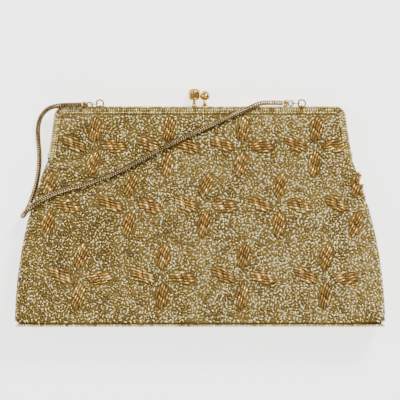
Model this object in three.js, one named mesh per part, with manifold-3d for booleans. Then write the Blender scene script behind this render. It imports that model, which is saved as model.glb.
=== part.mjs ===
// A beaded evening bag with a kiss-lock frame and a snake chain handle, lying on its back.
// Millimetres. +X is the wearer's right, +Y runs from the base to the clasp, +Z comes out of the front.
// The origin is under the middle of the bag, on the surface that the back panel rests on.
import * as THREE from "three";
import { mergeVertices } from "three/addons/utils/BufferGeometryUtils.js";
import Module from "manifold-3d";

const wasm = await Module();
wasm.setup();

// ---- driving dimensions ----
const GAP = 0.3; // clearance between neighbouring pieces
const HALF_LENGTH = 77.2; // from the origin to the bottom edge, and to the top of the clasp
const HINGE_Y = 33;
const MID_Z = 7; // the plane where the two frame halves meet
const FRAME_TOP_Y = 64.9;
const HINGE_HALF_WIDTH = 98.4; // outside of the frame's arms at the hinges
const ARM_LEAN = 0.125; // how far each arm leans in per mm of height
const BASE_HALF_WIDTH = 119.6;
const BAR_WIDTH = 4.5; // frame bar, seen from the front
const BAR_DEPTH = 5.5;
const CORNER_RADIUS = 6;
const INSIDE_TOP_Y = FRAME_TOP_Y - BAR_WIDTH - GAP; // top edge of the cloth inside the frame
const BINDING_THICKNESS = 0.8;
const PANEL_THICKNESS = 1.5; // beaded cloth with its backing
const INTERLINING_THICKNESS = 0.8;
const LINING_THICKNESS = 0.6;
const FRONT_RISE = 0.185; // the front panel rises from the frame to the base
const FRONT_Z_AT_HINGE = 14.2;
const SEAM_Y = -75.3; // bottom edge of the front and back panels
const FRONT_TOP_Y = 24.5; // the lower front panel stops here, so that the front flap can turn
const GUSSET_TOP_Y = 24.8;
const GUSSET_RECESS = 4; // the side walls are tucked in behind the panel edges
const PIPING_RADIUS = 0.9;
const CHAIN_RADIUS = 1.6;
// The handle swings about the line through the middles of its two end caps' holes.
const RIGHT_PIVOT = [59, 67, 15.5];
const LEFT_PIVOT = [-71.4, 65.9, 16.6];
const EYE_MIDDLE = [66.8, 15.2]; // y and z of the two handle eyes
const EYE_RADIUS = 2.4;
const EYE_WIRE = 0.5;
const LINK_HALF_WIDTH = 1.8;
const LINK_WIRE = 0.4;
const LINK_REACH = 1.3; // how far a link goes past the wire of its eye
const CAP_HOLE_X = 4.8; // from a cap's open end to its hole

const GOLD = { color: 0xd9b25a, roughness: 0.25, metalness: 1 };
const BEADED = { color: 0xb08a3c, roughness: 0.45, metalness: 0.3 };
const SATIN = { color: 0xd8c08a, roughness: 0.5, metalness: 0 };
const CARD = { color: 0xb9a98a, roughness: 0.9, metalness: 0 };

const bag = new THREE.Group();

function add(name, geometry, look) {
  const mesh = new THREE.Mesh(geometry, new THREE.MeshStandardMaterial(look));
  mesh.name = name;
  bag.add(mesh);
  return mesh;
}

// ---- joining and cutting ----
function solid(geometry) {
  const bare = geometry.index ? geometry.toNonIndexed() : geometry.clone();
  bare.deleteAttribute("normal");
  bare.deleteAttribute("uv");
  const merged = mergeVertices(bare, 1e-4);
  const vertProperties = new Float32Array(merged.attributes.position.array);
  const triVerts = new Uint32Array(merged.index.array);
  return new wasm.Manifold(new wasm.Mesh({ numProp: 3, vertProperties, triVerts }));
}

function geometryOf(manifold) {
  const mesh = manifold.getMesh();
  const geometry = new THREE.BufferGeometry();
  const positions = new Float32Array(mesh.vertProperties);
  geometry.setAttribute("position", new THREE.BufferAttribute(positions, 3));
  geometry.setIndex(new THREE.BufferAttribute(new Uint32Array(mesh.triVerts), 1));
  geometry.computeVertexNormals();
  return geometry;
}

// ---- outlines ----
function armHalfWidth(y) {
  return HINGE_HALF_WIDTH - ARM_LEAN * (y - HINGE_Y);
}

// Half the bag's width at a height: it flares from the hinges to the base.
function bodyHalfWidth(y) {
  const height = Math.max(0, (y + HALF_LENGTH) / (HINGE_Y + HALF_LENGTH));
  return HINGE_HALF_WIDTH + (BASE_HALF_WIDTH - HINGE_HALF_WIDTH) * (1 - height ** 2.15);
}

// Half the width of a piece that runs inside the frame above the hinges, with round top corners,
// and that stays clear of the side walls below them.
function innerHalfWidth(inset) {
  return (y) => {
    const inFrame = armHalfWidth(Math.max(y, HINGE_Y)) - BAR_WIDTH - GAP - inset;
    const intoCorner = Math.min(CORNER_RADIUS, Math.max(0, y + CORNER_RADIUS - INSIDE_TOP_Y));
    const rounding = CORNER_RADIUS - Math.sqrt(CORNER_RADIUS ** 2 - intoCorner ** 2);
    const inBody = bodyHalfWidth(y) - GUSSET_RECESS - 3 - inset;
    return y > HINGE_Y ? inFrame - rounding : Math.max(inFrame, inBody);
  };
}

function frontZ(y) {
  return FRONT_Z_AT_HINGE + FRONT_RISE * (HINGE_Y - y);
}

// ---- sheets: a box bent to the outline of a panel ----
function bentBox(rows, place) {
  const geometry = new THREE.BoxGeometry(1, 1, 1, 1, rows, 1);
  const position = geometry.attributes.position;
  const point = new THREE.Vector3();
  for (let i = 0; i < position.count; i += 1) {
    point.fromBufferAttribute(position, i).addScalar(0.5);
    position.setXYZ(i, ...place(point.x, point.y, point.z));
  }
  geometry.computeVertexNormals();
  return geometry;
}

const mix = THREE.MathUtils.lerp;

// A layer that lies across the bag, between two heights and between a lower and an upper surface.
function layer(name, [lowY, highY], halfWidth, lowZ, highZ, look) {
  const place = (u, v, w) => {
    const y = mix(lowY, highY, v);
    return [mix(-halfWidth(y), halfWidth(y), u), y, mix(lowZ(y), highZ(y), w)];
  };
  return add(name, bentBox(18, place), look);
}

const flat = (z) => () => z;
const underFront = (depth) => (y) => frontZ(y) - depth;

function backLayers() {
  const topY = INSIDE_TOP_Y;
  const outline = (y) => (y > HINGE_Y - 2 ? innerHalfWidth(0)(HINGE_Y) - 0.6 : bodyHalfWidth(y));
  const panel = [0, PANEL_THICKNESS];
  const interlining = [panel[1] + GAP, panel[1] + GAP + INTERLINING_THICKNESS];
  const lining = [interlining[1] + GAP, interlining[1] + GAP + LINING_THICKNESS];
  layer("back_panel", [SEAM_Y, HINGE_Y - 4], outline, flat(panel[0]), flat(panel[1]), BEADED);
  layer("back_flap", [HINGE_Y - 4 + GAP, topY], innerHalfWidth(0.5), flat(panel[0]), flat(panel[1]), BEADED);
  layer("back_interlining", [SEAM_Y + 1.3, topY - 1], innerHalfWidth(1.5),
    flat(interlining[0]), flat(interlining[1]), CARD);
  layer("back_lining", [SEAM_Y + 2.3, topY - 2], innerHalfWidth(2.5),
    flat(lining[0]), flat(lining[1]), SATIN);
  const pocketZ = lining[1] + GAP;
  layer("inner_pocket", [-45, 12], () => 48, flat(pocketZ), flat(pocketZ + LINING_THICKNESS), SATIN);
}

function frontLayers() {
  const low = [SEAM_Y, FRONT_TOP_Y];
  const edge = (y) => bodyHalfWidth(y) - 1;
  const interlining = PANEL_THICKNESS + GAP;
  const lining = interlining + INTERLINING_THICKNESS + GAP;
  layer("front_panel", low, edge, underFront(PANEL_THICKNESS), underFront(0), BEADED);
  layer("front_interlining", [SEAM_Y + 1.3, FRONT_TOP_Y], innerHalfWidth(1.5),
    underFront(interlining + INTERLINING_THICKNESS), underFront(interlining), CARD);
  layer("front_lining", [SEAM_Y + 2.3, FRONT_TOP_Y], innerHalfWidth(2.5),
    underFront(lining + LINING_THICKNESS), underFront(lining), SATIN);
  // The flap sewn to the front frame half turns with it.
  const flapY = [HINGE_Y + 1, INSIDE_TOP_Y];
  const outerZ = 2 * MID_Z - 0.5;
  const innerZ = outerZ - PANEL_THICKNESS;
  layer("front_flap", flapY, innerHalfWidth(0.5), flat(innerZ), flat(outerZ), BEADED);
  layer("front_flap_lining", [flapY[0], flapY[1] - 2], innerHalfWidth(2.5),
    flat(innerZ - GAP - LINING_THICKNESS), flat(innerZ - GAP), SATIN);
}

// A side wall and its lining: a wedge between the back and front panels.
function gusset(side, sideName) {
  const wall = (name, lowY, depth, thickness, margin, look) => {
    const place = (u, v, w) => {
      const y = mix(lowY, GUSSET_TOP_Y, v);
      const outer = bodyHalfWidth(y) - depth;
      const x = side > 0 ? mix(outer - thickness, outer, u) : -mix(outer, outer - thickness, u);
      return [x, y, mix(margin, frontZ(y) - margin, w)];
    };
    add(name, bentBox(18, place), look);
  };
  wall(`${sideName}_gusset`, SEAM_Y, GUSSET_RECESS, 1.2, PANEL_THICKNESS + GAP, BEADED);
  wall(`${sideName}_gusset_lining`, SEAM_Y + 2.3, GUSSET_RECESS + 1.5, LINING_THICKNESS, 3, SATIN);
}

function box(lowX, highX, lowY, highY, lowZ, highZ) {
  const geometry = new THREE.BoxGeometry(highX - lowX, highY - lowY, highZ - lowZ);
  return geometry.translate((lowX + highX) / 2, (lowY + highY) / 2, (lowZ + highZ) / 2);
}

function base() {
  const highZ = frontZ(SEAM_Y);
  add("base_panel", box(-116.5, 116.5, SEAM_Y - 1.4, SEAM_Y - GAP, 2.3, highZ - 2.2), BEADED);
  add("base_board", box(-108, 108, SEAM_Y, SEAM_Y + 1, 3.9, highZ - 5), CARD);
  add("base_lining", box(-107, 107, SEAM_Y + 1.3, SEAM_Y + 2, 3.9, highZ - 5), SATIN);
  const y = -HALF_LENGTH + PIPING_RADIUS;
  const rows = { back_base_piping: PIPING_RADIUS + 0.1, front_base_piping: highZ + 0.2 };
  for (const [name, z] of Object.entries(rows)) {
    const rod = new THREE.CylinderGeometry(PIPING_RADIUS, PIPING_RADIUS, 2 * 117, 10);
    add(name, rod.rotateZ(Math.PI / 2).translate(0, y, z), BEADED);
  }
}

// ---- the frame ----
// One side of a bent bar, from the left arm's end, round both top corners, to the right arm's end.
function frameLine(inset, endY) {
  const radius = CORNER_RADIUS - inset * 0.6;
  const topY = FRAME_TOP_Y - inset;
  const topX = armHalfWidth(topY) - inset;
  const endX = armHalfWidth(endY) - inset;
  const half = [new THREE.Vector2(endX, endY)];
  for (let step = 0; step <= 6; step += 1) {
    const turn = (step / 6) * (Math.PI / 2);
    half.push(new THREE.Vector2(
      topX - radius * (1 - Math.cos(turn)),
      topY - radius * (1 - Math.sin(turn)),
    ));
  }
  const mirrored = half.map((p) => new THREE.Vector2(-p.x, p.y));
  return [...mirrored, ...half.reverse()];
}

function bentBar(inset, width, endY, lowZ, highZ) {
  const outline = [...frameLine(inset, endY), ...frameLine(inset + width, endY).reverse()];
  const shape = new THREE.Shape(outline);
  const depth = highZ - lowZ;
  return new THREE.ExtrudeGeometry(shape, { depth, bevelEnabled: false }).translate(0, 0, lowZ);
}

// A disc or rod that lies along X on the hinge line.
function hingeRod(lowX, highX, radius) {
  const rod = new THREE.CylinderGeometry(radius, radius, highX - lowX, 24);
  return rod.rotateZ(Math.PI / 2).translate((lowX + highX) / 2, HINGE_Y, MID_Z);
}

const EAR_RADIUS = 4;
const EAR_INNER = { back: 94, front: 96.3 }; // where each half's ear starts, from the middle
const EAR_THICKNESS = 1.9;
const PIN_RADIUS = 1.2;

function frameHalf(half) {
  const other = half === "back" ? "front" : "back";
  const lowZ = half === "back" ? MID_Z - GAP - BAR_DEPTH : MID_Z + GAP;
  let bar = solid(bentBar(0, BAR_WIDTH, HINGE_Y, lowZ, lowZ + BAR_DEPTH));
  for (const side of [-1, 1]) {
    const spanX = (start, grow) => {
      const ends = [side * (start - grow), side * (start + EAR_THICKNESS + grow)];
      return [Math.min(...ends), Math.max(...ends)];
    };
    const ear = hingeRod(...spanX(EAR_INNER[half], 0), EAR_RADIUS);
    const room = hingeRod(...spanX(EAR_INNER[other], 0.2), EAR_RADIUS + 0.4);
    const hole = hingeRod(...spanX(EAR_INNER[half], 3), PIN_RADIUS + 0.15);
    bar = bar.subtract(solid(room)).add(solid(ear)).subtract(solid(hole));
  }
  add(`${half}_frame`, geometryOf(bar), GOLD);
  const bindingZ = half === "back" ? 0.1 : 2 * MID_Z - 0.1 - BINDING_THICKNESS;
  const binding = bentBar(0, BAR_WIDTH, HINGE_Y + 4.6, bindingZ, bindingZ + BINDING_THICKNESS);
  add(`${half}_frame_binding`, binding, BEADED);
}

function hingeRivet(side, sideName) {
  const points = [
    [0, 92.4], [2.2, 92.4], [2.2, 93.2], [PIN_RADIUS, 93.2],
    [PIN_RADIUS, 98.6], [2.2, 98.6], [2.2, 99.4], [0, 99.4],
  ].map(([r, x]) => new THREE.Vector2(r, x));
  const rivet = new THREE.LatheGeometry(points, 24);
  rivet.rotateZ(-side * Math.PI / 2).translate(0, HINGE_Y, MID_Z);
  add(`${sideName}_hinge_rivet`, rivet, GOLD);
}

// ---- the clasp: two knobs on sprung stems that snap past each other ----
function turned(points) {
  return new THREE.LatheGeometry(points.map(([r, y]) => new THREE.Vector2(r, y)), 28);
}

function claspHalf(half, x, z, lean, knobPoints) {
  const stem = turned([[0, 0.8], [1.7, 0.8], [1.05, 1.8], [1.05, 4.6], [0, 4.6]]);
  for (const [part, geometry] of [["stem", stem], ["knob", turned(knobPoints)]]) {
    geometry.rotateX(lean).translate(x, FRAME_TOP_Y, z);
    add(`${half}_clasp_${part}`, geometry, GOLD);
  }
}

function clasp() {
  const lean = THREE.MathUtils.degToRad(14);
  const barrel = [
    [0, 4.9], [2.2, 4.9], [3.1, 5.5], [3.3, 6.4],
    [3.3, 10.3], [2.9, 11.3], [1.6, 11.85], [0, 11.85],
  ];
  const acorn = [[0, 4.9], [1.8, 4.9], [3, 5.5], [3.3, 6.5], [3.1, 8], [2.4, 9.6], [1.2, 10.6], [0, 10.9]];
  claspHalf("back", -3.8, MID_Z - 3, lean, barrel);
  claspHalf("front", 3.2, MID_Z + 3, -lean, acorn);
}

// ---- the handle ----
// The route of the chain's middle, from the right cap over the front,
// round a loop beside the bag, to the left cap.
const CHAIN_ROUTE = [
  [53.9, 67, 15.5], [46, 67.3, 15.7], [38.5, 66.6, 16.1], [30.5, 63.2, 16.6], [21.4, 59.1, 17.2],
  [10.7, 54.3, 17.6], [0, 49.5, 17.9], [-11.4, 44.2, 18.2], [-22.1, 38.8, 18.6], [-32.7, 33.2, 19.1],
  [-43.4, 27.3, 19.7], [-54.1, 22, 20.3], [-64.8, 17.6, 20.9], [-75.5, 14, 21.5], [-86.2, 11, 22],
  [-96.9, 7, 22.8], [-105, 2.6, 23.6], [-110.6, -1.6, 23], [-114, -4.8, 19.6], [-115.2, -6.2, 13.2],
  [-114.4, -4.8, 6.6], [-112.6, -1, 2.9], [-110.3, 4.6, 1.9], [-108, 11.5, 1.8], [-106.2, 19.5, 1.8],
  [-105.2, 28.1, 1.8], [-105.3, 36, 1.9], [-105.9, 43.5, 2.2], [-106, 50.6, 3.6], [-103.9, 58.2, 7.6],
  [-98.6, 63.5, 12.6], [-91.6, 65.4, 16], [-84, 65.8, 16.5], [-76.5, 65.9, 16.6],
];
const CHAIN_STEPS = 66;

function tube(points, radius, steps) {
  const path = new THREE.CatmullRomCurve3(points.map((p) => new THREE.Vector3(...p)), false, "centripetal");
  const section = new THREE.Shape();
  section.absarc(0, 0, radius, 0, 2 * Math.PI);
  return new THREE.ExtrudeGeometry(section, { steps, extrudePath: path, curveSegments: 8, bevelEnabled: false });
}

function wireRing(radius, wire) {
  return new THREE.TorusGeometry(radius, wire, 10, 28);
}

// A ring of wire that stands on the front frame half and holds one end of the handle.
function handleEye(x, sideName) {
  const half = 0.6;
  const [y, z] = EYE_MIDDLE;
  const ring = wireRing(EYE_RADIUS, EYE_WIRE).translate(x, y, z);
  const foot = box(x - half, x + half, FRAME_TOP_Y + GAP, FRAME_TOP_Y + 0.9, 9, z + 0.4);
  const toe = box(x - half, x + half, FRAME_TOP_Y - 0.7, FRAME_TOP_Y + 0.9, z - 0.6, z + 0.6);
  add(`${sideName}_handle_eye`, geometryOf(solid(ring).add(solid(foot)).add(solid(toe))), GOLD);
}

// A long link, edge on, from the hole of the end cap into the eye: a ring pulled apart at its middle.
function handleLink(sideName, pivot, eyeX) {
  const hole = new THREE.Vector3(...pivot);
  const eyeWire = new THREE.Vector3(eyeX - EYE_RADIUS, ...EYE_MIDDLE);
  const along = eyeWire.clone().sub(hole);
  const halfLength = (along.length() + LINK_REACH) / 2;
  along.normalize();
  const link = wireRing(LINK_HALF_WIDTH, LINK_WIRE);
  const vertices = link.attributes.position;
  for (let i = 0; i < vertices.count; i += 1) {
    const x = vertices.getX(i);
    if (Math.abs(x) > 0.01) vertices.setX(i, x + Math.sign(x) * (halfLength - LINK_HALF_WIDTH));
  }
  link.rotateX(Math.PI / 2);
  link.applyQuaternion(new THREE.Quaternion().setFromUnitVectors(new THREE.Vector3(1, 0, 0), along));
  const middle = hole.addScaledVector(along, halfLength);
  add(`${sideName}_handle_link`, link.translate(middle.x, middle.y, middle.z), GOLD);
}

// A cap over the end of the chain, with a thin flat eye for the link, which points along +X.
function endCap(sideName, [pivotX, y, z]) {
  const halfTab = 0.4;
  const profile = [[0, 0], [2.1, 0], [2.2, 0.4], [2.2, 2.2], [1.5, 3], [0, 3]];
  const sleeve = turned(profile).rotateZ(-Math.PI / 2);
  const disc = (radius, depth) => new THREE.CylinderGeometry(radius, radius, depth, 24).rotateX(Math.PI / 2);
  const tab = disc(2.1, 2 * halfTab).translate(CAP_HOLE_X, 0, 0);
  const neck = box(2, CAP_HOLE_X, -1.3, 1.3, -halfTab, halfTab);
  const hole = disc(1.2, 4).translate(CAP_HOLE_X, 0, 0);
  const cap = solid(sleeve).add(solid(tab)).add(solid(neck)).subtract(solid(hole));
  add(`${sideName}_end_cap`, geometryOf(cap).translate(pivotX - CAP_HOLE_X, y, z), GOLD);
}

function handle() {
  const ends = { right: [RIGHT_PIVOT, 66], left: [LEFT_PIVOT, -65] };
  add("handle_chain", tube(CHAIN_ROUTE, CHAIN_RADIUS, CHAIN_STEPS), GOLD);
  for (const [sideName, [pivot, eyeX]] of Object.entries(ends)) {
    handleEye(eyeX, sideName);
    endCap(sideName, pivot);
    handleLink(sideName, pivot, eyeX);
  }
}

backLayers();
frontLayers();
base();
clasp();
handle();
for (const half of ["back", "front"]) frameHalf(half);
for (const [side, sideName] of [[-1, "left"], [1, "right"]]) {
  gusset(side, sideName);
  hingeRivet(side, sideName);
}

export default bag;
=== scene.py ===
import math

import bpy
import numpy as np
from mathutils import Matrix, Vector


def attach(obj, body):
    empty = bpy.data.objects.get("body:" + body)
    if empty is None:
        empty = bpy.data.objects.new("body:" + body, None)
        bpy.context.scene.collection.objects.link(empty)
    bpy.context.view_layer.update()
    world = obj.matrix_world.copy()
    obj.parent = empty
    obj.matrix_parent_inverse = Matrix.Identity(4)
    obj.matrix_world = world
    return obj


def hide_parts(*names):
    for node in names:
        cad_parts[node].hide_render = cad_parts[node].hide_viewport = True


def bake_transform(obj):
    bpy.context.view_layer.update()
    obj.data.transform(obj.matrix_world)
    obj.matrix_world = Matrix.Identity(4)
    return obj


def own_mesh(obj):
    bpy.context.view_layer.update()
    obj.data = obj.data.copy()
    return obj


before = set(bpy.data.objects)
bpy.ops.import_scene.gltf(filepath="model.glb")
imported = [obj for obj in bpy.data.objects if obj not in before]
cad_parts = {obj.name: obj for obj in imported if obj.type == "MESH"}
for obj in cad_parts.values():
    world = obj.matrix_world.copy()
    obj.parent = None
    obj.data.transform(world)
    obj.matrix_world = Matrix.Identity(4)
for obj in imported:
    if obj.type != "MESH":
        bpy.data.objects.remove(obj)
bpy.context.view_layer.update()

# Everything below is worked out in millimetres, as the CAD is, and scaled to metres when a mesh is made.
MM = 0.001
HALF_LENGTH = 77.2
HINGE_Y = 33.0
MID_Z = 7.0
FRAME_TOP_Y = 64.9
HINGE_HALF_WIDTH = 98.4
ARM_LEAN = 0.125
BASE_HALF_WIDTH = 119.6
SIDE_BOW = 2.15          # how late the sides curve in from the base to the hinges
BAR_WIDTH = 4.5
CORNER_RADIUS = 6.0
FOOT_RADIUS = 3.0        # at each end of the base
SEAM_Y = -75.3
CLOTH_LOW = (-121, -78)  # a box round the front cloth, and round the back
CLOTH_HIGH = (121, 67)
FRONT_RISE = 0.185
CLOTH_THICKNESS = 0.4
BEAD_RADIUS = 0.62
BEAD_LIFT = 0.5          # from the cloth to a bead's middle
BEAD_LENGTHS = (2.1, 1.4, 0.9)
BEAD_ROOM = 1.0          # the width of cloth that each bead takes
BEADS_PER_PIECE = 3800   # the most beads in one mesh; a larger mesh would be thinned out when it is exported
BAND_Z = 13.2            # the cloth over the front frame bar
BACK_Z = 1.9             # the outside of the back cloth
SEED = 1960

rng = np.random.RandomState(SEED)


# ---------------------------------------------------------------- camera, lights and floor
def camera():
    """Straight above the bag, with a long lens."""
    lens = 200.0
    sensor = 36.0
    view_width = 0.258   # in metres, across the bag at the height of its front
    front_height = 0.024
    middle_y = 0.0042
    data = bpy.data.cameras.new("camera")
    data.lens = lens
    data.sensor_width = sensor
    data.clip_end = 20
    ob = bpy.data.objects.new("camera", data)
    ob.location = (0, middle_y, front_height + view_width * lens / sensor)
    bpy.context.scene.collection.objects.link(ob)
    bpy.context.scene.camera = ob


def area_light(name, location, target, size, power, colour=(1, 1, 1)):
    data = bpy.data.lights.new(name, "AREA")
    data.shape = "DISK"
    data.size = size
    data.energy = power
    data.color = colour
    ob = bpy.data.objects.new(name, data)
    ob.location = location
    direction = np.array(target, float) - np.array(location, float)
    ob.rotation_euler = Vector(direction).to_track_quat("-Z", "Y").to_euler()
    bpy.context.scene.collection.objects.link(ob)


def studio():
    world = bpy.data.worlds.new("studio")
    world.use_nodes = True
    world.node_tree.nodes["Background"].inputs[0].default_value = (1, 0.98, 0.95, 1)
    world.node_tree.nodes["Background"].inputs[1].default_value = 0.36
    bpy.context.scene.world = world
    area_light("key", (0.45, 0.75, 1.0), (0, 0, 0), 0.35, 21, (1, 0.96, 0.88))
    area_light("fill", (-0.8, 0.1, 0.9), (0, 0, 0), 0.6, 7)
    area_light("front", (0.2, -0.9, 0.8), (0, 0, 0), 0.5, 6)


def floor():
    size = 3.0
    mesh = bpy.data.meshes.new("floor")
    corners = [(-size, -size, 0), (size, -size, 0), (size, size, 0), (-size, size, 0)]
    mesh.from_pydata(corners, [], [(0, 1, 2, 3)])
    ob = bpy.data.objects.new("floor", mesh)
    bpy.context.scene.collection.objects.link(ob)
    material = bpy.data.materials.new("floor")
    material.use_nodes = True
    shader = material.node_tree.nodes["Principled BSDF"]
    shader.inputs["Base Color"].default_value = (0.93, 0.93, 0.93, 1)
    shader.inputs["Roughness"].default_value = 0.7
    shader.inputs["Emission Color"].default_value = (1, 1, 1, 1)
    shader.inputs["Emission Strength"].default_value = 2.2
    ob.data.materials.append(material)


# ---------------------------------------------------------------- materials
def new_material(name, colour, metallic, roughness):
    material = bpy.data.materials.new(name)
    material.use_nodes = True
    material.diffuse_color = (*colour, 1)
    shader = material.node_tree.nodes["Principled BSDF"]
    shader.inputs["Base Color"].default_value = (*colour, 1)
    shader.inputs["Metallic"].default_value = metallic
    shader.inputs["Roughness"].default_value = roughness
    return material, material.node_tree, shader


def glass_bead(name, colour, metallic, roughness):
    """Silver-lined glass: a bright metallic core under a clear coat."""
    material, _, shader = new_material(name, colour, metallic, roughness)
    shader.inputs["Coat Weight"].default_value = 0.4
    shader.inputs["Coat Roughness"].default_value = 0.08
    shader.inputs["Coat IOR"].default_value = 1.55
    return material


def noise(tree, scale, detail=3.0, stretch=(1, 1, 1)):
    place = tree.nodes.new("ShaderNodeTexCoord")
    mapping = tree.nodes.new("ShaderNodeMapping")
    texture = tree.nodes.new("ShaderNodeTexNoise")
    mapping.inputs["Scale"].default_value = stretch
    texture.inputs["Scale"].default_value = scale
    texture.inputs["Detail"].default_value = detail
    tree.links.new(place.outputs["Object"], mapping.inputs["Vector"])
    tree.links.new(mapping.outputs["Vector"], texture.inputs["Vector"])
    return texture.outputs["Fac"]


def two_tone(tree, shader, fac, low, high, edges=(0.35, 0.65)):
    ramp = tree.nodes.new("ShaderNodeValToRGB")
    ramp.color_ramp.elements[0].position = edges[0]
    ramp.color_ramp.elements[0].color = (*low, 1)
    ramp.color_ramp.elements[1].position = edges[1]
    ramp.color_ramp.elements[1].color = (*high, 1)
    tree.links.new(fac, ramp.inputs["Fac"])
    tree.links.new(ramp.outputs["Color"], shader.inputs["Base Color"])


def vary_roughness(tree, shader, fac, low, high):
    span = tree.nodes.new("ShaderNodeMapRange")
    span.inputs["To Min"].default_value = low
    span.inputs["To Max"].default_value = high
    tree.links.new(fac, span.inputs["Value"])
    tree.links.new(span.outputs["Result"], shader.inputs["Roughness"])


def bump(tree, shader, fac, strength, distance):
    node = tree.nodes.new("ShaderNodeBump")
    node.inputs["Strength"].default_value = strength
    node.inputs["Distance"].default_value = distance
    tree.links.new(fac, node.inputs["Height"])
    tree.links.new(node.outputs["Normal"], shader.inputs["Normal"])


def gilt(name, light, dark, roughness):
    """Gilt metal with faint wear: patches of a browner gold and fine scratches."""
    material, tree, shader = new_material(name, light, 1.0, roughness[0])
    two_tone(tree, shader, noise(tree, 90, 4), dark, light, (0.3, 0.6))
    vary_roughness(tree, shader, noise(tree, 260, 5), *roughness)
    bump(tree, shader, noise(tree, 900, 3, (1, 6, 1)), 0.12, 0.0001)
    shader.inputs["Specular Tint"].default_value = (0.22, 0.13, 0.04, 1)
    return material


def cloth(name, light, dark, weave):
    """Woven cloth: fine crossed threads, with a slow change of tone over it."""
    material, tree, shader = new_material(name, light, 0.0, 0.6)
    two_tone(tree, shader, noise(tree, 60, 5), dark, light)
    warp = noise(tree, weave, 2, (1, 0.12, 1))
    weft = noise(tree, weave, 2, (0.12, 1, 1))
    both = tree.nodes.new("ShaderNodeMath")
    both.operation = "ADD"
    tree.links.new(warp, both.inputs[0])
    tree.links.new(weft, both.inputs[1])
    bump(tree, shader, both.outputs[0], 0.35, 0.0002)
    vary_roughness(tree, shader, warp, 0.4, 0.7)
    shader.inputs["Sheen Weight"].default_value = 0.05
    shader.inputs["Specular IOR Level"].default_value = 0.15
    return material


BEAD_TONES = [
    glass_bead("bead_pale", (0.93, 0.83, 0.51), 0.70, 0.20),
    glass_bead("bead_straw", (0.71, 0.58, 0.26), 0.75, 0.22),
    glass_bead("bead_gold", (0.53, 0.40, 0.13), 0.80, 0.24),
    glass_bead("bead_amber", (0.38, 0.245, 0.06), 0.75, 0.26),
    glass_bead("bead_brown", (0.20, 0.125, 0.035), 0.60, 0.30),
]
BUGLE_TONES = [
    glass_bead("bugle_light", (0.60, 0.42, 0.14), 0.80, 0.22),
    glass_bead("bugle_amber", (0.40, 0.23, 0.05), 0.80, 0.26),
    glass_bead("bugle_brown", (0.27, 0.145, 0.03), 0.75, 0.28),
]
GOLD = gilt("gilt_polished", (0.70, 0.47, 0.15), (0.50, 0.31, 0.09), (0.12, 0.26))
CHAIN_GOLD = gilt("gilt_chain", (0.56, 0.44, 0.24), (0.34, 0.25, 0.11), (0.18, 0.34))
# The near-black chain groove material is painted shade for the grooves between the scales.
CHAIN_GROOVE_SHADE = gilt("gilt_chain_groove_painted_shade", (0.10, 0.065, 0.03), (0.05, 0.03, 0.012), (0.4, 0.6))
FRAME_GOLD = gilt("gilt_frame", (0.52, 0.34, 0.10), (0.36, 0.22, 0.06), (0.22, 0.4))
GROUND = cloth("ground_cloth", (0.22, 0.155, 0.036), (0.12, 0.08, 0.018), 2400)
SATIN = cloth("lining_satin", (0.62, 0.50, 0.30), (0.48, 0.37, 0.20), 2400)
CARD = cloth("card", (0.50, 0.43, 0.32), (0.40, 0.34, 0.25), 900)


# ---------------------------------------------------------------- mesh making
def make_mesh(name, vertices, faces, materials, tones=None, smooth=None):
    mesh = bpy.data.meshes.new(name)
    mesh.from_pydata([tuple(v) for v in np.asarray(vertices) * MM], [], faces)
    for material in materials:
        mesh.materials.append(material)
    if tones is not None:
        mesh.polygons.foreach_set("material_index", np.asarray(tones, np.int32))
    smooth = np.ones(len(faces), bool) if smooth is None else smooth
    mesh.polygons.foreach_set("use_smooth", smooth)
    mesh.update()
    ob = bpy.data.objects.new(name, mesh)
    bpy.context.scene.collection.objects.link(ob)
    return ob


def unit(v):
    return v / np.maximum(np.linalg.norm(v, axis=-1, keepdims=True), 1e-9)


def shell(name, point, us, vs, thickness, material, flip=False):
    """A closed thin sheet: point(u, v) gives its outer face, and its inner face lies behind that."""
    grid = np.array([[point(u, v) for u in us] for v in vs])
    across = np.gradient(grid, axis=1)
    along = np.gradient(grid, axis=0)
    normal = unit(np.cross(across, along)) * (-1 if flip else 1)
    rows, columns = grid.shape[:2]
    outer = grid.reshape(-1, 3)
    inner = (grid - normal * thickness).reshape(-1, 3)
    count = rows * columns
    faces = []
    for r in range(rows - 1):
        for c in range(columns - 1):
            a = r * columns + c
            quad = (a, a + 1, a + 1 + columns, a + columns)
            faces.append(quad)
            faces.append(tuple(i + count for i in reversed(quad)))
    rim = list(range(columns))
    rim += [r * columns + columns - 1 for r in range(1, rows)]
    rim += [(rows - 1) * columns + c for c in range(columns - 2, -1, -1)]
    rim += [r * columns for r in range(rows - 2, 0, -1)]
    for i, a in enumerate(rim):
        b = rim[(i + 1) % len(rim)]
        faces.append((b, a, a + count, b + count))
    if flip:
        faces = [tuple(reversed(f)) for f in faces]
    return make_mesh(name, np.vstack([outer, inner]), faces, [material])


def bead_template(sides):
    """A unit bugle along X: a round bar with a small chamfer at each cut end."""
    stations = [(-0.5, 0.62), (-0.46, 1.0), (0.46, 1.0), (0.5, 0.62)]
    turns = np.arange(sides) * 2 * math.pi / sides
    rings = [[(x, r * math.cos(t), r * math.sin(t)) for t in turns] for x, r in stations]
    faces = []
    for k in range(len(stations) - 1):
        for s in range(sides):
            t = (s + 1) % sides
            faces.append((k * sides + s, (k + 1) * sides + s, (k + 1) * sides + t, k * sides + t))
    faces.append(tuple(range(sides)))
    faces.append(tuple(range(len(stations) * sides - 1, (len(stations) - 1) * sides - 1, -1)))
    faces = [tuple(reversed(f)) for f in faces]
    return np.array(rings, float).reshape(-1, 3), faces


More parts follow.
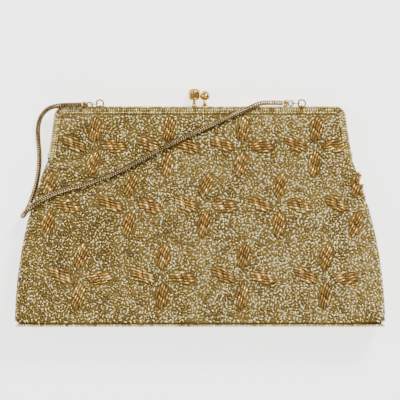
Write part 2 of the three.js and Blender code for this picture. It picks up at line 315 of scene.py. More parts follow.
def beads(name, middles, directions, normals, lengths, radii, tones, materials, sides=6):
    """One mesh of many bugles. Each lies along its direction on a surface with its normal."""
    template, template_faces = bead_template(sides)
    middles = np.asarray(middles, float)
    normals = unit(np.asarray(normals, float))
    directions = unit(np.asarray(directions, float))
    side = unit(np.cross(normals, directions))
    up = np.cross(directions, side)
    lengths = np.broadcast_to(lengths, len(middles)).reshape(-1, 1, 1)
    radii = np.broadcast_to(radii, len(middles)).reshape(-1, 1, 1)
    points = (
        middles[:, None]
        + lengths * template[None, :, :1] * directions[:, None]
        + radii * template[None, :, 1:2] * side[:, None]
        + radii * template[None, :, 2:] * up[:, None]
    )
    per_bead = len(template)
    faces = [
        tuple(i + n * per_bead for i in face)
        for n in range(len(middles))
        for face in template_faces
    ]
    per_face = np.repeat(np.asarray(tones), len(template_faces))
    round_faces = np.array([len(f) == 4 for f in template_faces])
    smooth = np.tile(round_faces, len(middles))
    return make_mesh(name, points.reshape(-1, 3), faces, materials, per_face, smooth)


# ---------------------------------------------------------------- outlines and surfaces
def arm_half_width(y):
    return HINGE_HALF_WIDTH - ARM_LEAN * (y - HINGE_Y)


def body_half_width(y):
    height = np.maximum(0, (y + HALF_LENGTH) / (HINGE_Y + HALF_LENGTH))
    return HINGE_HALF_WIDTH + (BASE_HALF_WIDTH - HINGE_HALF_WIDTH) * (1 - height**SIDE_BOW)


def hill(x, middle, width):
    return np.exp(-(((x - middle) / width) ** 2))


def smooth_step(low, high, x):
    t = np.clip((x - low) / (high - low), 0, 1)
    return t * t * (3 - 2 * t)


ARM_INSET = 0.3          # from the frame's edge, and from the side seams, to the cloth's edge
SIDE_INSET = 0.6
TUCKS = ((14.6, 0.9), (3.2, 0.8))   # the height and depth of the two tucks in each side below its hinge
TUCK_WIDTH = 1.6


def corner_rounding(distance, radius):
    """How far a round corner draws the edge in, at a distance from the corner's end."""
    remaining = radius - np.clip(distance, 0, radius)
    return radius - np.sqrt(radius**2 - remaining**2)


def cloth_half_width(y):
    """The outline of the front and back cloth, with tucks below each hinge and round corners."""
    body = body_half_width(y) - SIDE_INSET
    for tuck_y, depth in TUCKS:
        body = body - depth * hill(y, tuck_y, TUCK_WIDTH)
    top = arm_half_width(y) - ARM_INSET - corner_rounding(FRAME_TOP_Y - y, CORNER_RADIUS)
    return np.where(y > HINGE_Y, top, body) - corner_rounding(y - SEAM_Y, FOOT_RADIUS)


FILL_HEIGHT = 0.9        # the front's rise inside the frame
PUCKER_HEIGHT = 0.9      # of the folds that fan out from each hinge
PUCKER_FREQUENCY = 9     # of a sine of the angle about the hinge
PUCKER_REACH = 22        # from the hinge to where they are highest
PUCKER_SPREAD = 16
EDGE_DROP = 2.6          # how deep and how wide the front turns down at its sides
SEAM_DROP = 1.0


def front_waves(x, y):
    return 0.35 * np.sin(x / 17 + 0.6) * np.sin(y / 14 + 0.3) + 0.25 * np.sin(x / 9.1 - y / 12.3)


def hinge_puckers(x, y):
    """Small folds that fan out from each hinge, highest some way from it."""
    turn = np.arctan2(y - HINGE_Y, HINGE_HALF_WIDTH - np.abs(x))
    away = np.hypot(HINGE_HALF_WIDTH - np.abs(x), y - HINGE_Y)
    return PUCKER_HEIGHT * np.sin(turn * PUCKER_FREQUENCY) * hill(away, PUCKER_REACH, PUCKER_SPREAD)


def front_z(x, y):
    """The outside of the front cloth: flat over the frame bar, filled elsewhere, round at the edges."""
    from_side = np.clip(cloth_half_width(y) - np.abs(x), 0, None)
    from_frame = np.minimum(from_side, FRAME_TOP_Y - y)
    slope = BAND_Z + FRONT_RISE * np.clip(HINGE_Y - y, 0, None)
    below = smooth_step(HINGE_Y + 6, HINGE_Y - 10, y)
    inside = smooth_step(BAR_WIDTH, BAR_WIDTH + 5, from_frame)
    fill = FILL_HEIGHT * inside * smooth_step(0, 25, from_frame)
    edge = EDGE_DROP * hill(from_side, 0, EDGE_DROP) + SEAM_DROP * hill(y, SEAM_Y, 2.0)
    uneven = front_waves(x, y) + hinge_puckers(x, y) - edge
    return slope + fill + below * uneven * smooth_step(0, 6, FRAME_TOP_Y - y)


def front_point(x, y):
    return np.stack([x, y, front_z(x, y)], -1)


def surface_normal(point, a, b, step=0.4):
    da = point(a + step, b) - point(a - step, b)
    db = point(a, b + step) - point(a, b - step)
    return unit(np.cross(da, db))


def back_z(x, y):
    edge = np.clip(cloth_half_width(y) - np.abs(x), 0, None)
    waves = 0.12 * (1 + np.sin(x / 15 + 1) * np.sin(y / 17))
    return BACK_Z + waves + 1.5 * hill(edge, 0, 2.2)


def back_point(x, y):
    return np.stack([x, y, back_z(x, y)], -1)


# ---------------------------------------------------------------- scattering beads
CELL = 0.28
CELL_STEP = 0.25         # about how far apart the points are that mark a bead's cells
FIELD_MARGIN = 2


class Field:
    """A flat region, in cells, that is filled with beads lying side by side at every angle."""

    def __init__(self, low, high, inside):
        self.low = np.array(low, float)
        self.high = np.array(high, float)
        count = np.ceil((self.high - self.low) / CELL).astype(int)
        gx, gy = np.meshgrid(np.arange(count[0]), np.arange(count[1]), indexing="ij")
        xs = self.low[0] + (gx + 0.5) * CELL
        ys = self.low[1] + (gy + 0.5) * CELL
        self.taken = ~inside(xs, ys)
        self.placed = []

    def cells(self, middle, angle, length, width):
        along = np.linspace(-length / 2, length / 2, max(2, int(length / CELL_STEP)))
        across = np.linspace(-width / 2, width / 2, max(2, int(width / CELL_STEP)))
        a, c = np.meshgrid(along, across)
        cos, sin = math.cos(angle), math.sin(angle)
        x = middle[0] + a * cos - c * sin
        y = middle[1] + a * sin + c * cos
        i = ((x - self.low[0]) / CELL).astype(int)
        j = ((y - self.low[1]) / CELL).astype(int)
        return i.ravel(), j.ravel()

    def put(self, middle, angle, length, width):
        """Takes the ground that a bead covers, whatever lies there."""
        i, j = self.cells(middle, angle, length, width)
        fits = (i >= 0) & (j >= 0) & (i < self.taken.shape[0]) & (j < self.taken.shape[1])
        self.taken[i[fits], j[fits]] = True

    def fill(self, length, width, tries):
        """Drops beads at random and keeps each that finds free ground."""
        xs = rng.uniform(self.low[0] + FIELD_MARGIN, self.high[0] - FIELD_MARGIN, tries)
        ys = rng.uniform(self.low[1] + FIELD_MARGIN, self.high[1] - FIELD_MARGIN, tries)
        angles = rng.uniform(0, math.pi, tries)
        for x, y, angle in zip(xs, ys, angles):
            if self.taken[int((x - self.low[0]) / CELL), int((y - self.low[1]) / CELL)]:
                continue
            i, j = self.cells((x, y), angle, length, width)
            if self.taken[i, j].any():
                continue
            self.taken[i, j] = True
            self.placed.append((x, y, angle, length))


def bead_tones(xs, ys):
    """Mostly straw and gold, with pale beads between, and more brown towards the lower left as painted
    shade, with a slow wave of tone across it.
    """
    # The fall towards the lower left is painted shade: it draws more amber and brown beads there.
    painted_shade = 0.47 - 0.0040 * xs - 0.0017 * ys + 0.12 * np.sin(xs / 21 + 1) * np.sin(ys / 17)
    painted_shade = np.clip(painted_shade, 0.1, 0.9)
    draw = rng.uniform(0, 1, len(xs))
    limits = np.stack([0.34 - 0.22 * painted_shade, 0.72 - 0.36 * painted_shade, 0.92 - 0.28 * painted_shade, 0.99 - 0.14 * painted_shade])
    return (draw[None] > limits).sum(0)


def fill_with_beads(field, tries):
    """Long beads first, then shorter ones in the gaps that are left."""
    for length, share in zip(BEAD_LENGTHS, (1.0, 0.6, 0.6)):
        field.fill(length, BEAD_ROOM, int(tries * share))


def scattered_beads(name, field, point, flip=1.0, lifts=(-0.08, 0.22)):
    """The field's beads laid on a surface, as a few meshes side by side."""
    placed = np.array(field.placed)
    placed = placed[np.argsort(placed[:, 0])]
    xs, ys, angles, lengths = placed.T
    normals = surface_normal(point, xs, ys) * flip
    heading = 0.4
    ahead = point(xs + heading * np.cos(angles), ys + heading * np.sin(angles))
    directions = ahead - point(xs, ys)
    middles = point(xs, ys) + normals * (BEAD_LIFT + rng.uniform(*lifts, len(xs)))[:, None]
    directions = unit(directions) + normals * rng.uniform(-0.12, 0.12, (len(xs), 1))
    radii = BEAD_RADIUS * rng.uniform(0.92, 1.05, len(xs))
    tones = bead_tones(xs, ys)
    pieces = []
    parts = np.array_split(np.arange(len(xs)), math.ceil(len(xs) / BEADS_PER_PIECE))
    for number, k in enumerate(parts, 1):
        pieces.append(beads(f"{name}_{number}", middles[k], directions[k], normals[k], lengths[k] + 0.15,
                            radii[k], tones[k], BEAD_TONES))
    return pieces


# ---------------------------------------------------------------- flowers of long bugles
FLOWER_ROWS = [
    (40.0, [-69.0, -20.6, 27.1, 74.8]),
    (1.0, [-98.0, -45.2, 3.2, 51.6, 101.3]),
    (-45.0, [-77.4, -23.9, 27.7, 80.6]),
]
PETAL_REACH = 12.8
TOP_PETAL_REACH = 9.8    # in the top row, which lies close to the frame
BUGLE_LENGTH = 7.4
BUGLE_RADIUS = 0.82
BUGLE_PITCH = 1.62


def petal(middle, lean, slip):
    """Five rows of long bugles in a diamond: one in each outer row, two end to end in the others."""
    along = np.array([math.cos(lean), math.sin(lean)])
    across = np.array([-along[1], along[0]])
    for row in range(-2, 3):
        halves = (0,) if abs(row) == 2 else (-0.51, 0.51)
        for half in halves:
            yield np.array(middle) + along * (half * BUGLE_LENGTH + slip * row) + across * BUGLE_PITCH * row


def flower_bugles(rows, inside):
    """Each flower has four petals. The side petals lie flat and the others stand steeply to the right."""
    for y, xs in rows:
        for x in xs:
            up_reach = TOP_PETAL_REACH if y > HINGE_Y else PETAL_REACH
            petals = [
                ((x - PETAL_REACH, y + 0.8), rng.uniform(-28, -12), -0.9),
                ((x + PETAL_REACH, y - 0.8), rng.uniform(-20, 10), -0.9),
                ((x + 0.6, y + up_reach), rng.uniform(62, 76), 0.9),
                ((x - 0.6, y - PETAL_REACH), rng.uniform(62, 76), 0.9),
            ]
            for middle, lean, slip in petals:
                for place in petal(middle, math.radians(lean), slip):
                    angle = math.radians(lean) + rng.uniform(-0.04, 0.04)
                    if inside(place[0], place[1]):
                        yield place[0], place[1], angle


def flower_beads(name, field, point, inside, flip=1.0, lift=0.85):
    placed = np.array(list(flower_bugles(FLOWER_ROWS, inside)))
    for x, y, angle in placed:
        field.put((x, y), angle, BUGLE_LENGTH, 2 * BUGLE_RADIUS)
    xs, ys, angles = placed.T
    normals = surface_normal(point, xs, ys) * flip
    directions = point(xs + np.cos(angles), ys + np.sin(angles)) - point(xs, ys)
    middles = point(xs, ys) + normals * lift
    tones = rng.choice(3, len(xs), p=[0.22, 0.48, 0.30])
    lengths = BUGLE_LENGTH * rng.uniform(0.96, 1.02, len(xs))
    return beads(name, middles, directions, normals, lengths, BUGLE_RADIUS, tones, BUGLE_TONES, 8)


# ---------------------------------------------------------------- rows of seed beads
def frame_line(inset, end_y):
    """From the left arm's end, over the top, to the right arm's end, a set way in from the edge."""
    radius = CORNER_RADIUS - inset * 0.6
    top_y = FRAME_TOP_Y - inset
    top_x = arm_half_width(top_y) - inset
    turns = np.linspace(0, math.pi / 2, 9)
    corner = np.stack([top_x - radius * (1 - np.cos(turns)), top_y - radius * (1 - np.sin(turns))], -1)
    right = np.vstack([[arm_half_width(end_y) - inset, end_y], corner])
    left = right * [-1, 1]
    return np.vstack([left, right[::-1]])


def spaced(line, pitch):
    """Points and directions at an even pitch along a line."""
    steps = np.linalg.norm(np.diff(line, axis=0), axis=1)
    travel = np.concatenate([[0], np.cumsum(steps)])
    count = max(2, int(round(travel[-1] / pitch)))
    at = (np.arange(count) + 0.5) * travel[-1] / count
    points = np.stack([np.interp(at, travel, line[:, k]) for k in range(line.shape[1])], -1)
    ahead = np.stack([np.interp(at + 0.3, travel, line[:, k]) for k in range(line.shape[1])], -1)
    behind = np.stack([np.interp(at - 0.3, travel, line[:, k]) for k in range(line.shape[1])], -1)
    return points, unit(ahead - behind)


SEED_PITCH = 2.0


def bead_row(line, pitch, radius, normal):
    points, directions = spaced(line, pitch)
    normals = np.broadcast_to(np.array(normal, float), points.shape)
    count = len(points)
    return points, directions, normals, np.full(count, pitch * 0.9), np.full(count, radius)


def joined_rows(name, rows, tones_share=(0.16, 0.42, 0.30, 0.10, 0.02), sides=8):
    points, directions, normals, lengths, radii = (np.concatenate(part) for part in zip(*rows))
    directions = directions + rng.uniform(-0.08, 0.08, directions.shape)
    tones = rng.choice(5, len(points), p=tones_share)
    return beads(name, points, directions, normals, lengths, radii, tones, BEAD_TONES, sides)


def at_height(line, z):
    return np.column_stack([line, np.full(len(line), z)])


def frame_rows(z, normal_z):
    """Two rows of seed beads along the frame, and short beads across between them."""
    end_y = HINGE_Y - 1.5
    normal = (0, 0, normal_z)
    rows = [
        bead_row(at_height(frame_line(0.5, end_y), z), SEED_PITCH, 0.8, normal),
        bead_row(at_height(frame_line(3.9, end_y), z), SEED_PITCH, 0.72, normal),
    ]
    points, directions = spaced(at_height(frame_line(2.2, end_y), z - 0.15 * normal_z), 1.45)
    across = np.cross(np.broadcast_to([0, 0, 1.0], directions.shape), directions)
    across = across + rng.uniform(-0.25, 0.25, across.shape) * [1, 1, 0]
    normals = np.broadcast_to(np.array(normal, float), points.shape)
    count = len(points)
    rows.append((points, across, normals, np.full(count, 2.0), np.full(count, 0.6)))
    return rows


# ---------------------------------------------------------------- beaded cloth
def inside_front(x, y):
    from_frame = np.minimum(arm_half_width(y) - np.abs(x), FRAME_TOP_Y - y)
    in_frame = (y <= HINGE_Y) | (from_frame > BAR_WIDTH + 0.5)
    return (np.abs(x) < cloth_half_width(y) - 0.4) & in_frame & (y > SEAM_Y + 0.6) & (y < FRAME_TOP_Y)


def cloth_columns():
    inner = np.linspace(-1, 1, 71)
    return np.sign(inner) * np.abs(inner) ** 0.9


CLOTH_ROWS = np.concatenate([np.linspace(SEAM_Y, 27, 62), np.linspace(28, FRAME_TOP_Y - 0.3, 30)])


def front():
    def point(u, v):
        x = u * cloth_half_width(v)
        return front_point(x, v)

    sheet = shell("front_cloth", point, cloth_columns(), CLOTH_ROWS, CLOTH_THICKNESS, GROUND)
    field = Field(CLOTH_LOW, CLOTH_HIGH, inside_front)
    bugles = flower_beads("front_flower_bugles", field, front_point, inside_front)
    fill_with_beads(field, 130000)
    small = scattered_beads("front_beads", field, front_point)
    binding = joined_rows("front_frame_beads", frame_rows(BAND_Z + 0.55, 1))
    for piece in (sheet, bugles, *small):
        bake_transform(piece)
    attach(binding, "front_half")
    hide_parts("front_panel", "front_flap")
    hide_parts("front_frame_binding")


def back():
    def point(u, v):
        in_frame = arm_half_width(v) - BAR_WIDTH - 0.4
        width = in_frame if v > HINGE_Y - 1 else cloth_half_width(v)
        return back_point(u * width, v)

    rows = CLOTH_ROWS[CLOTH_ROWS < FRAME_TOP_Y - BAR_WIDTH - 0.3]
    sheet = shell("back_cloth", point, cloth_columns(), rows, CLOTH_THICKNESS, GROUND, flip=True)
    field = Field(CLOTH_LOW, CLOTH_HIGH, inside_front)
    bugles = flower_beads("back_flower_bugles", field, back_point, inside_front, -1.0, 0.8)
    fill_with_beads(field, 90000)
    small = scattered_beads("back_beads", field, back_point, -1.0, (-0.1, 0.05))
    binding = joined_rows("back_frame_beads", frame_rows(1.05, -1))
    for piece in (sheet, bugles, *small, binding):
        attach(piece, "root")
    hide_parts("back_panel", "back_flap")
    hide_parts("back_frame_binding")


GUSSET_TOP_Y = 26.0
GUSSET_DEPTH = 34.0      # laid flat, at its deepest
GUSSET_TUCK = 4.5


def gusset_point(side):
    """The side wall from the front edge (0) to the back edge (1), tucked in along its middle."""
    def point(t, y):
        width = cloth_half_width(y)
        front_edge = front_z(width, y) - 0.3
        tuck = GUSSET_TUCK * np.sin(np.pi * np.clip(t, 0, 1)) ** 0.8
        z = front_edge + (BACK_Z + 1.6 - front_edge) * t
        return np.stack([side * (width - 0.3 - tuck), y + 0 * t, z + 0 * t], -1)
    return point


def gussets():
    for side, side_name in ((-1, "left"), (1, "right")):
        point = gusset_point(side)
        rows = np.linspace(SEAM_Y, GUSSET_TOP_Y, 50)
        ts = np.linspace(0, 1, 13)
        sheet = shell(f"{side_name}_gusset_cloth", point, ts, rows, CLOTH_THICKNESS, GROUND, flip=side < 0)
        # Beads are scattered over the wall laid flat: its depth along one axis, and y along the other.
        def flat(a, y, point=point):
            return point(a / GUSSET_DEPTH, y)

        def inside(a, y):
            return (a > 0.8) & (a < GUSSET_DEPTH - 0.8) & (y > SEAM_Y + 0.5) & (y < GUSSET_TOP_Y - 0.5)

        field = Field((-3, -78), (GUSSET_DEPTH + 3, 30), inside)
        fill_with_beads(field, 16000)
        field.placed = [p for p in field.placed if kept_on_gusset(p)]
        small = scattered_beads(f"{side_name}_gusset_beads", field, flat, float(side))
        for piece in (sheet, *small):
            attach(piece, "root")
        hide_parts(f"{side_name}_gusset")


def kept_on_gusset(placed):
    """Thins the beads where the wall is shallower than at its deepest."""
    y = placed[1]
    depth = front_z(cloth_half_width(y), y) - BACK_Z
    return rng.uniform() < depth / GUSSET_DEPTH


BASE_CLOTH_HALF_WIDTH = 117.6
BASE_CLOTH_DEPTH = 31.0
PIPING_HALF_WIDTH = 118.2
FRONT_PIPING_Z = 34.1
BACK_PIPING_Z = 0.95


def base_point(x, a):
    """The underside: x runs across it, and a from the back edge to the front."""
    bulge = 0.5 * np.sin(np.pi * np.clip(a / 32, 0, 1))
    return np.stack([x, SEAM_Y - 0.4 - bulge, 2.0 + a + 0 * x], -1)


def piping_line(z, corner_drop=0.0):
    """The line along one long edge of the base. It can drop at each end, where the corner is round."""
    xs = np.linspace(-PIPING_HALF_WIDTH, PIPING_HALF_WIDTH, 60)
    drop = corner_drop * (np.abs(xs) / PIPING_HALF_WIDTH) ** 30
    return np.column_stack([xs, np.full(60, SEAM_Y - 1.0), z - drop])


def base():
    def point(u, v):
        return base_point(u * BASE_CLOTH_HALF_WIDTH, v)

    def inside(x, a):
        return (np.abs(x) < BASE_CLOTH_HALF_WIDTH - 0.8) & (a > 0.6) & (a < BASE_CLOTH_DEPTH - 0.6)

    rows = np.linspace(0, BASE_CLOTH_DEPTH, 14)
    sheet = shell("base_cloth", point, cloth_columns(), rows, CLOTH_THICKNESS, GROUND)
    field = Field((-121, -3), (121, BASE_CLOTH_DEPTH + 3), inside)
    fill_with_beads(field, 30000)
    small = scattered_beads("base_beads", field, base_point)
    lines = {"front": piping_line(FRONT_PIPING_Z, 1.2), "back": piping_line(BACK_PIPING_Z)}
    for piece in (sheet, *small):
        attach(piece, "root")
    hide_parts("base_panel")
    for name, line in lines.items():
        row = joined_rows(f"{name}_piping_beads", [bead_row(line, SEED_PITCH, 0.88, (0, -1, 0))])
        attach(row, "root")
        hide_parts(f"{name}_base_piping")


# ---------------------------------------------------------------- lining and inside
SATIN_THICKNESS = 0.35
BACK_LINING_Z = 3.35
FRONT_LINING_Z = 11.0
BASE_LINING_HALF_WIDTH = 107
POCKET_HALF_WIDTH = 48
POCKET_Z = 4.25


def lining_sheet(name, point, us, vs, node, material, body="root",
                 flip=False):
    sheet = shell(name, point, us, vs, SATIN_THICKNESS, material, flip)
    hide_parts(*node)
    if body == "fold":
        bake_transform(sheet)
    else:
        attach(sheet, body)


def inner_half_width(y):
    in_frame = arm_half_width(max(y, HINGE_Y)) - BAR_WIDTH - 2.6
    return in_frame if y > HINGE_Y else max(in_frame, body_half_width(y) - 9.0)


def ripple(x, y):
    return 0.18 * math.sin(x / 7 + y / 31) * math.sin(y / 11 + 1)


def lining():
    us = np.linspace(-1, 1, 49)
    low = np.linspace(SEAM_Y + 2.6, 58, 60)

    def back_point_in(u, y):
        x = u * inner_half_width(y)
        return np.array([x, y, BACK_LINING_Z + ripple(x, y)])

    def front_point_in(u, y):
        x = u * inner_half_width(y)
        z = FRONT_LINING_Z + FRONT_RISE * max(0, HINGE_Y - y)
        return np.array([x, y, z - 0.2 * abs(ripple(x, y))])

    lining_sheet("back_lining_satin", back_point_in, us, low, ["back_lining"], SATIN)
    lining_sheet("front_lining_satin", front_point_in, us, low, ["front_lining", "front_flap_lining"],
                 SATIN, "fold", True)
    for side, side_name in ((-1, "left"), (1, "right")):
        def wall_point(t, y, side=side):
            front = FRONT_LINING_Z + FRONT_RISE * (HINGE_Y - y)
            x = body_half_width(y) - 6.4 - 0.8 * math.sin(math.pi * t)
            return np.array([side * x, y, front + (4.0 - front) * t])
        lining_sheet(f"{side_name}_gusset_satin", wall_point, np.linspace(0, 1, 12),
                     np.linspace(SEAM_Y + 2.8, 24, 40), [f"{side_name}_gusset_lining"], SATIN,
                     "root", side > 0)

    def base_point_in(u, v):
        return np.array([u * BASE_LINING_HALF_WIDTH, SEAM_Y + 1.6, v])

    lining_sheet("base_lining_satin", base_point_in, us, np.linspace(4.2, 28, 8), ["base_lining"],
                 SATIN, "root", True)

    def pocket_point(u, y):
        mouth = 0.5 * smooth_step(2, 12, y) * math.cos(u * math.pi / 2)
        return np.array([u * POCKET_HALF_WIDTH, y, POCKET_Z + mouth])

    lining_sheet("inner_pocket_satin", pocket_point, np.linspace(-1, 1, 30), np.linspace(-45, 12, 24),
                 ["inner_pocket"], SATIN)


# ---------------------------------------------------------------- handle
RIGHT_PIVOT = (59, 67, 15.5)
LEFT_PIVOT = (-71.4, 65.9, 16.6)
EYE_MIDDLE = (66.8, 15.2)   # y and z of both eyes
RIGHT_EYE_X = 66
LEFT_EYE_X = -65
EYE_RADIUS = 2.4
LINK_HALF_WIDTH = 1.8
LINK_WIRE = 0.4
LINK_REACH = 1.3         # past the middle of the eye's wire
CHAIN_ROUTE = [
    (53.9, 67, 15.5), (46, 67.3, 15.7), (38.5, 66.6, 16.1), (30.5, 63.2, 16.6), (21.4, 59.1, 17.2),
    (10.7, 54.3, 17.6), (0, 49.5, 17.9), (-11.4, 44.2, 18.2), (-22.1, 38.8, 18.6), (-32.7, 33.2, 19.1),
    (-43.4, 27.3, 19.7), (-54.1, 22, 20.3), (-64.8, 17.6, 20.9), (-75.5, 14, 21.5), (-86.2, 11, 22),
    (-96.9, 7, 22.8), (-105, 2.6, 23.6), (-110.6, -1.6, 23), (-114, -4.8, 19.6), (-115.2, -6.2, 13.2),
    (-114.4, -4.8, 6.6), (-112.6, -1, 2.9), (-110.3, 4.6, 1.9), (-108, 11.5, 1.8), (-106.2, 19.5, 1.8),
    (-105.2, 28.1, 1.8), (-105.3, 36, 1.9), (-105.9, 43.5, 2.2), (-106, 50.6, 3.6), (-103.9, 58.2, 7.6),
    (-98.6, 63.5, 12.6), (-91.6, 65.4, 16), (-84, 65.8, 16.5), (-76.5, 65.9, 16.6),
]
CHAIN_RADIUS = 1.6
SCALE_PITCH = 1.5
STEPS_PER_SCALE = 4
GROOVE_SHARE = 0.34      # of a scale's length
GROOVE_DEPTH = 0.18      # of the chain's radius


def smooth_route(points, step):
    """A centripetal Catmull-Rom curve through the points, sampled at an even step."""
    p = np.array(points, float)
    p = np.vstack([2 * p[0] - p[1], p, 2 * p[-1] - p[-2]])
    fine = []
    for k in range(1, len(p) - 2):
        p0, p1, p2, p3 = p[k - 1:k + 3]
        t0 = 0.0
        t1 = t0 + np.linalg.norm(p1 - p0) ** 0.5
        t2 = t1 + np.linalg.norm(p2 - p1) ** 0.5
        t3 = t2 + np.linalg.norm(p3 - p2) ** 0.5
        for t in np.linspace(t1, t2, 24, endpoint=False):
            a1 = (t1 - t) / (t1 - t0) * p0 + (t - t0) / (t1 - t0) * p1
            a2 = (t2 - t) / (t2 - t1) * p1 + (t - t1) / (t2 - t1) * p2
            a3 = (t3 - t) / (t3 - t2) * p2 + (t - t2) / (t3 - t2) * p3
            b1 = (t2 - t) / (t2 - t0) * a1 + (t - t0) / (t2 - t0) * a2
            b2 = (t3 - t) / (t3 - t1) * a2 + (t - t1) / (t3 - t1) * a3
            fine.append((t2 - t) / (t2 - t1) * b1 + (t - t1) / (t2 - t1) * b2)
    fine = np.array(fine + [p[-2]])
    lengths = np.linalg.norm(np.diff(fine, axis=0), axis=1)
    travel = np.concatenate([[0], np.cumsum(lengths)])
    count = int(travel[-1] / step) + 1
    at = np.linspace(0, travel[-1], count)
    return np.stack([np.interp(at, travel, fine[:, k]) for k in range(3)], -1), travel[-1]


def chain():
    """A snake chain: close scales that run round it in a zigzag, with painted shade in the grooves between
    them.
    """
    sides = 16
    path, length = smooth_route(CHAIN_ROUTE, SCALE_PITCH / STEPS_PER_SCALE)
    tangent = unit(np.gradient(path, axis=0))
    side = np.zeros_like(path)
    side[0] = unit(np.cross(tangent[0], [0, 0, 1]))
    for k in range(1, len(path)):
        side[k] = unit(side[k - 1] - tangent[k] * (side[k - 1] @ tangent[k]))
    up = np.cross(tangent, side)
    turns = np.arange(sides) * 2 * math.pi / sides
    zigzag = np.abs(((turns / (math.pi / 2)) % 1) - 0.5)
    rings = []
    for k in range(len(path)):
        phase = (k / STEPS_PER_SCALE + zigzag) % 1
        groove = np.where(phase < GROOVE_SHARE, np.sin(phase / GROOVE_SHARE * math.pi), 0)
        radius = CHAIN_RADIUS * (1 - GROOVE_DEPTH * groove)
        outward = np.cos(turns)[:, None] * side[k] + np.sin(turns)[:, None] * up[k]
        rings.append(path[k] + radius[:, None] * outward)
    vertices = np.vstack(rings)
    faces, tones = [], []
    for k in range(len(path) - 1):
        for s in range(sides):
            t = (s + 1) % sides
            faces.append((k * sides + s, k * sides + t, (k + 1) * sides + t, (k + 1) * sides + s))
            middle = (k + 0.5) / STEPS_PER_SCALE + (zigzag[s] + zigzag[t]) / 2
            # Faces in each scale's groove take the dark material: painted shade.
            tones.append(int(middle % 1 < GROOVE_SHARE))
    faces.append(tuple(reversed(range(sides))))
    faces.append(tuple((len(path) - 1) * sides + s for s in range(sides)))
    tones += [0, 0]
    ob = make_mesh("snake_chain", vertices, faces, [CHAIN_GOLD, CHAIN_GROOVE_SHADE], tones)
    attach(ob, "handle")
    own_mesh(ob)
    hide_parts("handle_chain")
    return ob, path, length


def turned(name, profile, place, material, sides=40):
    """A piece turned on a lathe: profile is (radius, along), and place maps lathe points to the bag."""
    turns = np.arange(sides) * 2 * math.pi / sides
    vertices, faces, rings = [], [], []
    for radius, along in profile:
        start = len(vertices)
        if radius < 1e-6:
            vertices.append((0, along, 0))
            rings.append([start] * sides)
        else:
            vertices += [(radius * math.cos(t), along, radius * math.sin(t)) for t in turns]
            rings.append([start + s for s in range(sides)])
    for lower, upper in zip(rings, rings[1:]):
        for s in range(sides):
            t = (s + 1) % sides
            quad = [lower[s], upper[s], upper[t], lower[t]]
            faces.append(tuple(dict.fromkeys(quad)))
    return make_mesh(name, [place(v) for v in vertices], [f for f in faces if len(f) > 2], [material])


def softened(profile, rounds=2):
    """Rounds a profile's corners by cutting them, and keeps its two ends."""
    points = [np.array(p, float) for p in profile]
    for _ in range(rounds):
        cut = [points[0]]
        for a, b in zip(points, points[1:]):
            cut += [a * 0.78 + b * 0.22, a * 0.22 + b * 0.78]
        points = cut + [points[-1]]
    return [tuple(p) for p in points]


def clasp():
    lean = math.radians(14)
    stem = [(0, 0.2), (1.9, 0.2), (1.9, 0.9), (1.05, 1.6), (1.05, 5.2), (0, 5.2)]
    barrel = [(0, 4.9), (1.3, 4.9), (1.5, 5.1), (3.2, 5.25), (3.7, 5.9), (3.7, 6.1), (3.55, 6.35),
              (3.7, 6.6), (3.7, 10.4), (3.55, 10.65), (3.65, 10.9), (3.1, 11.6), (1.5, 11.85), (0, 11.85)]
    acorn = [(0, 4.9), (1.3, 4.9), (2.2, 5.2), (3.0, 5.9), (3.3, 6.9), (3.2, 7.9), (3.0, 8.1), (2.95, 8.4),
             (2.5, 9.5), (1.5, 10.5), (0.6, 10.9), (0, 10.9)]
    halves = (("back", -3.8, MID_Z - 3, lean, barrel), ("front", 3.2, MID_Z + 3, -lean, acorn))
    for half, x, z, turn, knob in halves:
        def place(v, x=x, z=z, turn=turn):
            y = v[1] * math.cos(turn) - v[2] * math.sin(turn)
            deep = v[1] * math.sin(turn) + v[2] * math.cos(turn)
            return (v[0] + x, y + FRAME_TOP_Y, deep + z)
        body = "root" if half == "back" else "front_half"
        for part, profile in (("stem", stem), ("knob", knob)):
            piece = turned(f"{half}_{part}_turned", softened(profile), place, GOLD)
            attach(piece, body)
            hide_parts(f"{half}_clasp_{part}")


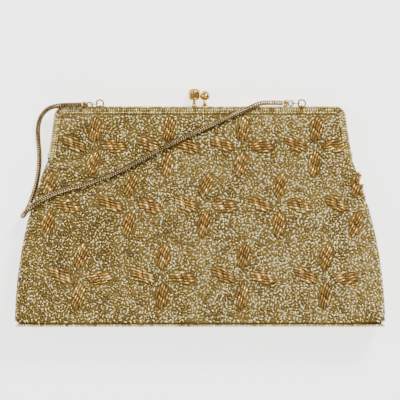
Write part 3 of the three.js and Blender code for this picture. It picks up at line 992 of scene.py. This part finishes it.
def wire(name, path, radius, material, sides=12):
    """A closed loop of round wire along a closed path."""
    path = np.array(path, float)
    count = len(path)
    tangent = unit(np.roll(path, -1, 0) - np.roll(path, 1, 0))
    flat_normal = unit(np.cross(path[1] - path[0], path[count // 4] - path[0]))
    side = unit(np.cross(tangent, flat_normal))
    vertices, faces = [], []
    for k in range(count):
        for s in range(sides):
            t = s * 2 * math.pi / sides
            vertices.append(path[k] + radius * (math.cos(t) * side[k] + math.sin(t) * flat_normal))
    for k in range(count):
        n = (k + 1) % count
        for s in range(sides):
            t = (s + 1) % sides
            faces.append((k * sides + s, k * sides + t, n * sides + t, n * sides + s))
    return make_mesh(name, vertices, faces, [material])


def handle_links():
    """A long wire link at each end, edge on, from the end cap's hole into the eye."""
    turns = np.arange(40) * 2 * math.pi / 40
    pieces = []
    ends = (("right", RIGHT_PIVOT, RIGHT_EYE_X), ("left", LEFT_PIVOT, LEFT_EYE_X))
    for side_name, pivot, eye_x in ends:
        hole = np.array(pivot, float)
        reach = np.array([eye_x - EYE_RADIUS, *EYE_MIDDLE]) - hole
        half = (np.linalg.norm(reach) + LINK_REACH) / 2
        along = unit(reach)
        deep = unit(np.cross(along, [0, 1, 0]))
        straight = (half - LINK_HALF_WIDTH) * np.sign(np.cos(turns))
        run = LINK_HALF_WIDTH * np.cos(turns) + straight
        path = hole + along * half + np.outer(run, along) + np.outer(LINK_HALF_WIDTH * np.sin(turns), deep)
        link = wire(f"{side_name}_link_wire", path, LINK_WIRE, GOLD)
        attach(link, f"{side_name}_link")
        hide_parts(f"{side_name}_handle_link")
        pieces.append(link)
    return pieces


def better_cad_materials():
    looks = {"front_frame": FRAME_GOLD, "back_frame": FRAME_GOLD}
    for node in ("left_hinge_rivet", "right_hinge_rivet", "left_handle_eye", "right_handle_eye",
                 "left_end_cap", "right_end_cap"):
        looks[node] = GOLD
    for node in ("back_interlining", "front_interlining", "base_board"):
        looks[node] = CARD
    for node, material in looks.items():
        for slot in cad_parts[node].material_slots:
            slot.material = material


camera()
chain_piece, chain_path, chain_length = chain()
links = handle_links()
[c * MM for c in CHAIN_ROUTE[0]]
studio()
floor()
front()
back()
gussets()
base()
lining()
clasp()
better_cad_materials()
